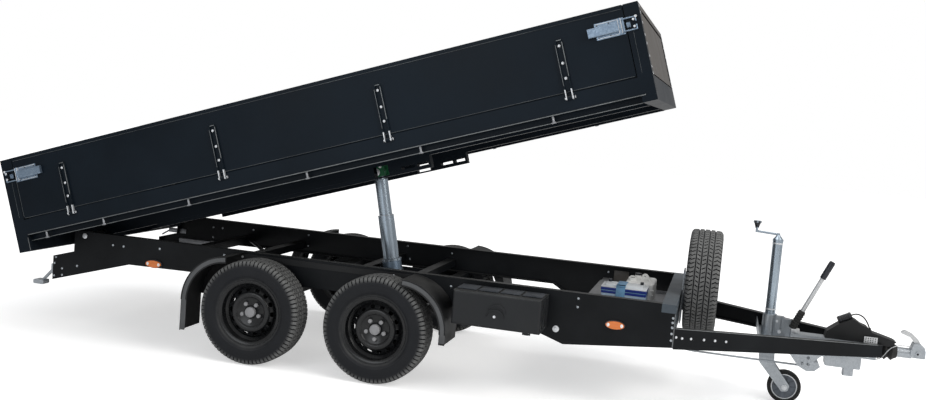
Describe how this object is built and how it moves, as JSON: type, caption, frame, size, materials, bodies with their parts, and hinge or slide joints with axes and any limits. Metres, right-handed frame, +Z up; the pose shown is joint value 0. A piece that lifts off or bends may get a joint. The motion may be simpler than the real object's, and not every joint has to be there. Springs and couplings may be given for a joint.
{
  "type": "tipper trailer",
  "caption": "Tandem-axle tipping trailer with drop-side bed raised on a telescopic hoist, drawbar with jockey wheel, spare wheel and toolbox.",
  "frame": {"origin": "on the ground, midway along and across the trailer's outline at its raised rest", "axes": "+X forward to the coupling, +Y to the left, +Z up"},
  "size_m": [5.5904, 1.898, 2.2536],
  "materials": {
    "frame_paint": "satin anthracite black",
    "bed_paint": "satin anthracite black",
    "wheel_paint": "satin black",
    "tyre": "black rubber",
    "zinc": "galvanised",
    "hoist_paint": "grey-blue zinc",
    "guard_plastic": "black moulded",
    "box_plastic": "black moulded",
    "battery_case": "blue and white",
    "tank_plastic": "white moulded",
    "amber_lens": "amber lens",
    "green_paint": "green",
    "rubber": "black",
    "cable": "black",
    "wire": "coated wire"
  },
  "bodies": {
    "chassis": {"axle_front": "frame_paint", "axle_rear": "frame_paint", "battery": "battery_case", "bellows": "rubber", "brake_rod": "zinc", "breakaway_cable": "wire", "coupling_handle": "zinc", "coupling_head": "zinc", "crossmembers": "frame_paint", "drawbar_beam_left": "frame_paint", "drawbar_beam_right": "frame_paint", "drawbar_bridge": "frame_paint", "equipment_tray": "frame_paint", "front_crossmember": "frame_paint", "handbrake_lever": "frame_paint", "hoist_cradle": "frame_paint", "jockey_tube": "zinc", "mudguards_left": "guard_plastic", "mudguards_right": "guard_plastic", "nose_cover": "guard_plastic", "oil_tank": "tank_plastic", "overrun_housing": "zinc", "plug": "rubber", "plug_cable": "cable", "rail_left": "frame_paint", "rail_right": "frame_paint", "rear_crossmember": "frame_paint", "rear_foot_left": "zinc", "rear_foot_right": "zinc", "side_markers": "amber_lens", "spare_carrier": "zinc", "spare_rim": "wheel_paint", "spare_tyre": "tyre", "toolbox_body": "box_plastic"},
    "wheel_front_left": {"wheel_front_left_tyre": "tyre", "wheel_front_left_rim": "wheel_paint"},
    "wheel_front_right": {"wheel_front_right_tyre": "tyre", "wheel_front_right_rim": "wheel_paint"},
    "wheel_rear_left": {"wheel_rear_left_tyre": "tyre", "wheel_rear_left_rim": "wheel_paint"},
    "wheel_rear_right": {"wheel_rear_right_tyre": "tyre", "wheel_rear_right_rim": "wheel_paint"},
    "bed": {"bed_frame": "bed_paint", "bed_floor": "bed_paint", "headboard": "bed_paint", "hoist_bracket": "green_paint"},
    "side_board_left": {"side_board_left": "bed_paint", "latches_left": "zinc"},
    "side_board_right": {"side_board_right": "bed_paint", "latches_right": "zinc"},
    "tailgate": {"tailgate": "bed_paint"},
    "hoist_barrel": {"hoist_barrel": "hoist_paint"},
    "hoist_stage_1": {"hoist_stage_1": "hoist_paint"},
    "hoist_stage_2": {"hoist_stage_2": "hoist_paint"},
    "toolbox_door": {"toolbox_door": "box_plastic"},
    "jockey_leg": {"jockey_leg": "zinc"},
    "jockey_fork": {"jockey_fork": "zinc"},
    "jockey_wheel": {"jockey_wheel": "zinc"}
  },
  "joints": [
    {"name": "wheel_front_left_spin", "type": "hinge", "parent": "chassis", "child": "wheel_front_left", "pos_m": [-0.2828, 0.8, 0.3145], "axis": [0, 1, 0], "continuous": true},
    {"name": "wheel_front_right_spin", "type": "hinge", "parent": "chassis", "child": "wheel_front_right", "pos_m": [-0.2828, -0.8, 0.3145], "axis": [0, 1, 0], "continuous": true},
    {"name": "wheel_rear_left_spin", "type": "hinge", "parent": "chassis", "child": "wheel_rear_left", "pos_m": [-1.0688, 0.8, 0.3145], "axis": [0, 1, 0], "continuous": true},
    {"name": "wheel_rear_right_spin", "type": "hinge", "parent": "chassis", "child": "wheel_rear_right", "pos_m": [-1.0688, -0.8, 0.3145], "axis": [0, 1, 0], "continuous": true},
    {"name": "bed_tip", "type": "hinge", "parent": "chassis", "child": "bed", "pos_m": [-2.3448, 0, 0.612], "axis": [0, -1, 0], "range_deg": [-17.3, 2.2]},
    {"name": "side_board_left_fold", "type": "hinge", "parent": "bed", "child": "side_board_left", "pos_m": [-0.75462, 0.936, 1.2602], "axis": [-0.9548, 0, -0.2974], "range_deg": [0, 170]},
    {"name": "side_board_right_fold", "type": "hinge", "parent": "bed", "child": "side_board_right", "pos_m": [-0.75462, -0.936, 1.2602], "axis": [0.9548, 0, 0.2974], "range_deg": [0, 170]},
    {"name": "tailgate_swing", "type": "hinge", "parent": "bed", "child": "tailgate", "pos_m": [-2.77545, 0, 1.04974], "axis": [0, 1, 0], "range_deg": [0, 75]},
    {"name": "hoist_barrel_swing", "type": "hinge", "parent": "chassis", "child": "hoist_barrel", "pos_m": [-0.4138, 0, 0.24], "axis": [0, -1, 0], "range_deg": [-0.4, 2.7]},
    {"name": "hoist_stage_1_slide", "type": "slide", "parent": "hoist_barrel", "child": "hoist_stage_1", "axis": [-0.2136, 0, 0.9769], "range_m": [-0.285, 0.0375]},
    {"name": "hoist_stage_2_slide", "type": "slide", "parent": "hoist_stage_1", "child": "hoist_stage_2", "axis": [-0.2136, 0, 0.9769], "range_m": [-0.262, 0.0345]},
    {"name": "toolbox_door_fold", "type": "hinge", "parent": "chassis", "child": "toolbox_door", "pos_m": [0.4242, -0.874, 0.412], "axis": [1, 0, 0], "range_deg": [0, 100]},
    {"name": "jockey_leg_wind", "type": "slide", "parent": "chassis", "child": "jockey_leg", "axis": [0, 0, -1], "range_m": [0, 0.25]},
    {"name": "jockey_fork_swivel", "type": "hinge", "parent": "jockey_leg", "child": "jockey_fork", "pos_m": [1.9222, 0.1, 0.32], "axis": [0, 0, 1], "continuous": true},
    {"name": "jockey_wheel_spin", "type": "hinge", "parent": "jockey_fork", "child": "jockey_wheel", "pos_m": [2.0482, 0.1, 0.1], "axis": [0, 1, 0], "continuous": true}
  ],
  "couplings": [
    {"joint": "hoist_barrel_swing", "follows": "bed_tip", "ratio": -0.15},
    {"joint": "hoist_stage_1_slide", "follows": "bed_tip", "m_per_rad": 0.94},
    {"joint": "hoist_stage_2_slide", "follows": "bed_tip", "m_per_rad": 0.86}
  ]
}
